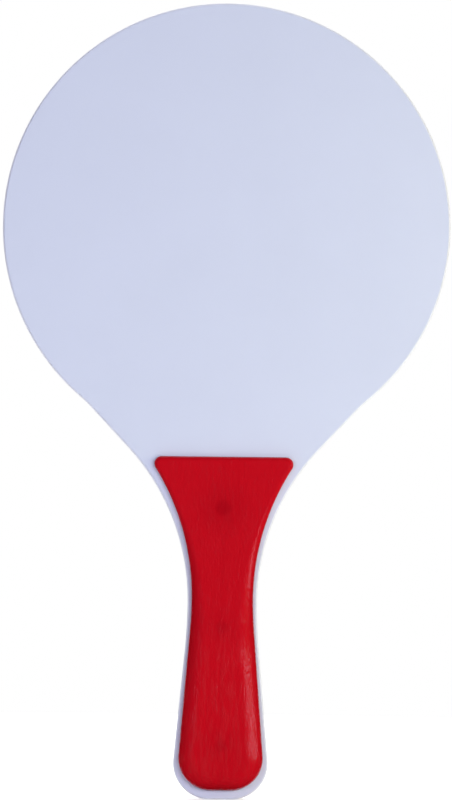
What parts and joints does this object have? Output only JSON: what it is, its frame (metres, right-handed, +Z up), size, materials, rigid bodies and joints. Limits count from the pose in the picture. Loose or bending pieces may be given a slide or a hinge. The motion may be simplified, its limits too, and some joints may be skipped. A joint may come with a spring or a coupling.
{
  "type": "beach paddle",
  "caption": "Flat round-headed beach paddle of faced fibreboard with a waisted handle and a moulded grip half on each side.",
  "frame": {"origin": "centre of the middle grip pin, half way through the board, where the hand closes", "axes": "+Z up the handle to the round head, -Y out of the front face, +X to the right seen from the front"},
  "size_m": [0.185, 0.0226, 0.329],
  "materials": {
    "edge_paint": "satin paint on fibreboard",
    "facing": "satin",
    "red_plastic": "gloss, slightly translucent"
  },
  "bodies": {
    "root": {"board_core": "edge_paint", "front_face_sheet": "facing", "rear_face_sheet": "facing", "front_grip_shell": "red_plastic", "rear_grip_shell": "red_plastic", "upper_grip_pin": "red_plastic", "middle_grip_pin": "red_plastic", "lower_grip_pin": "red_plastic"}
  },
  "joints": []
}
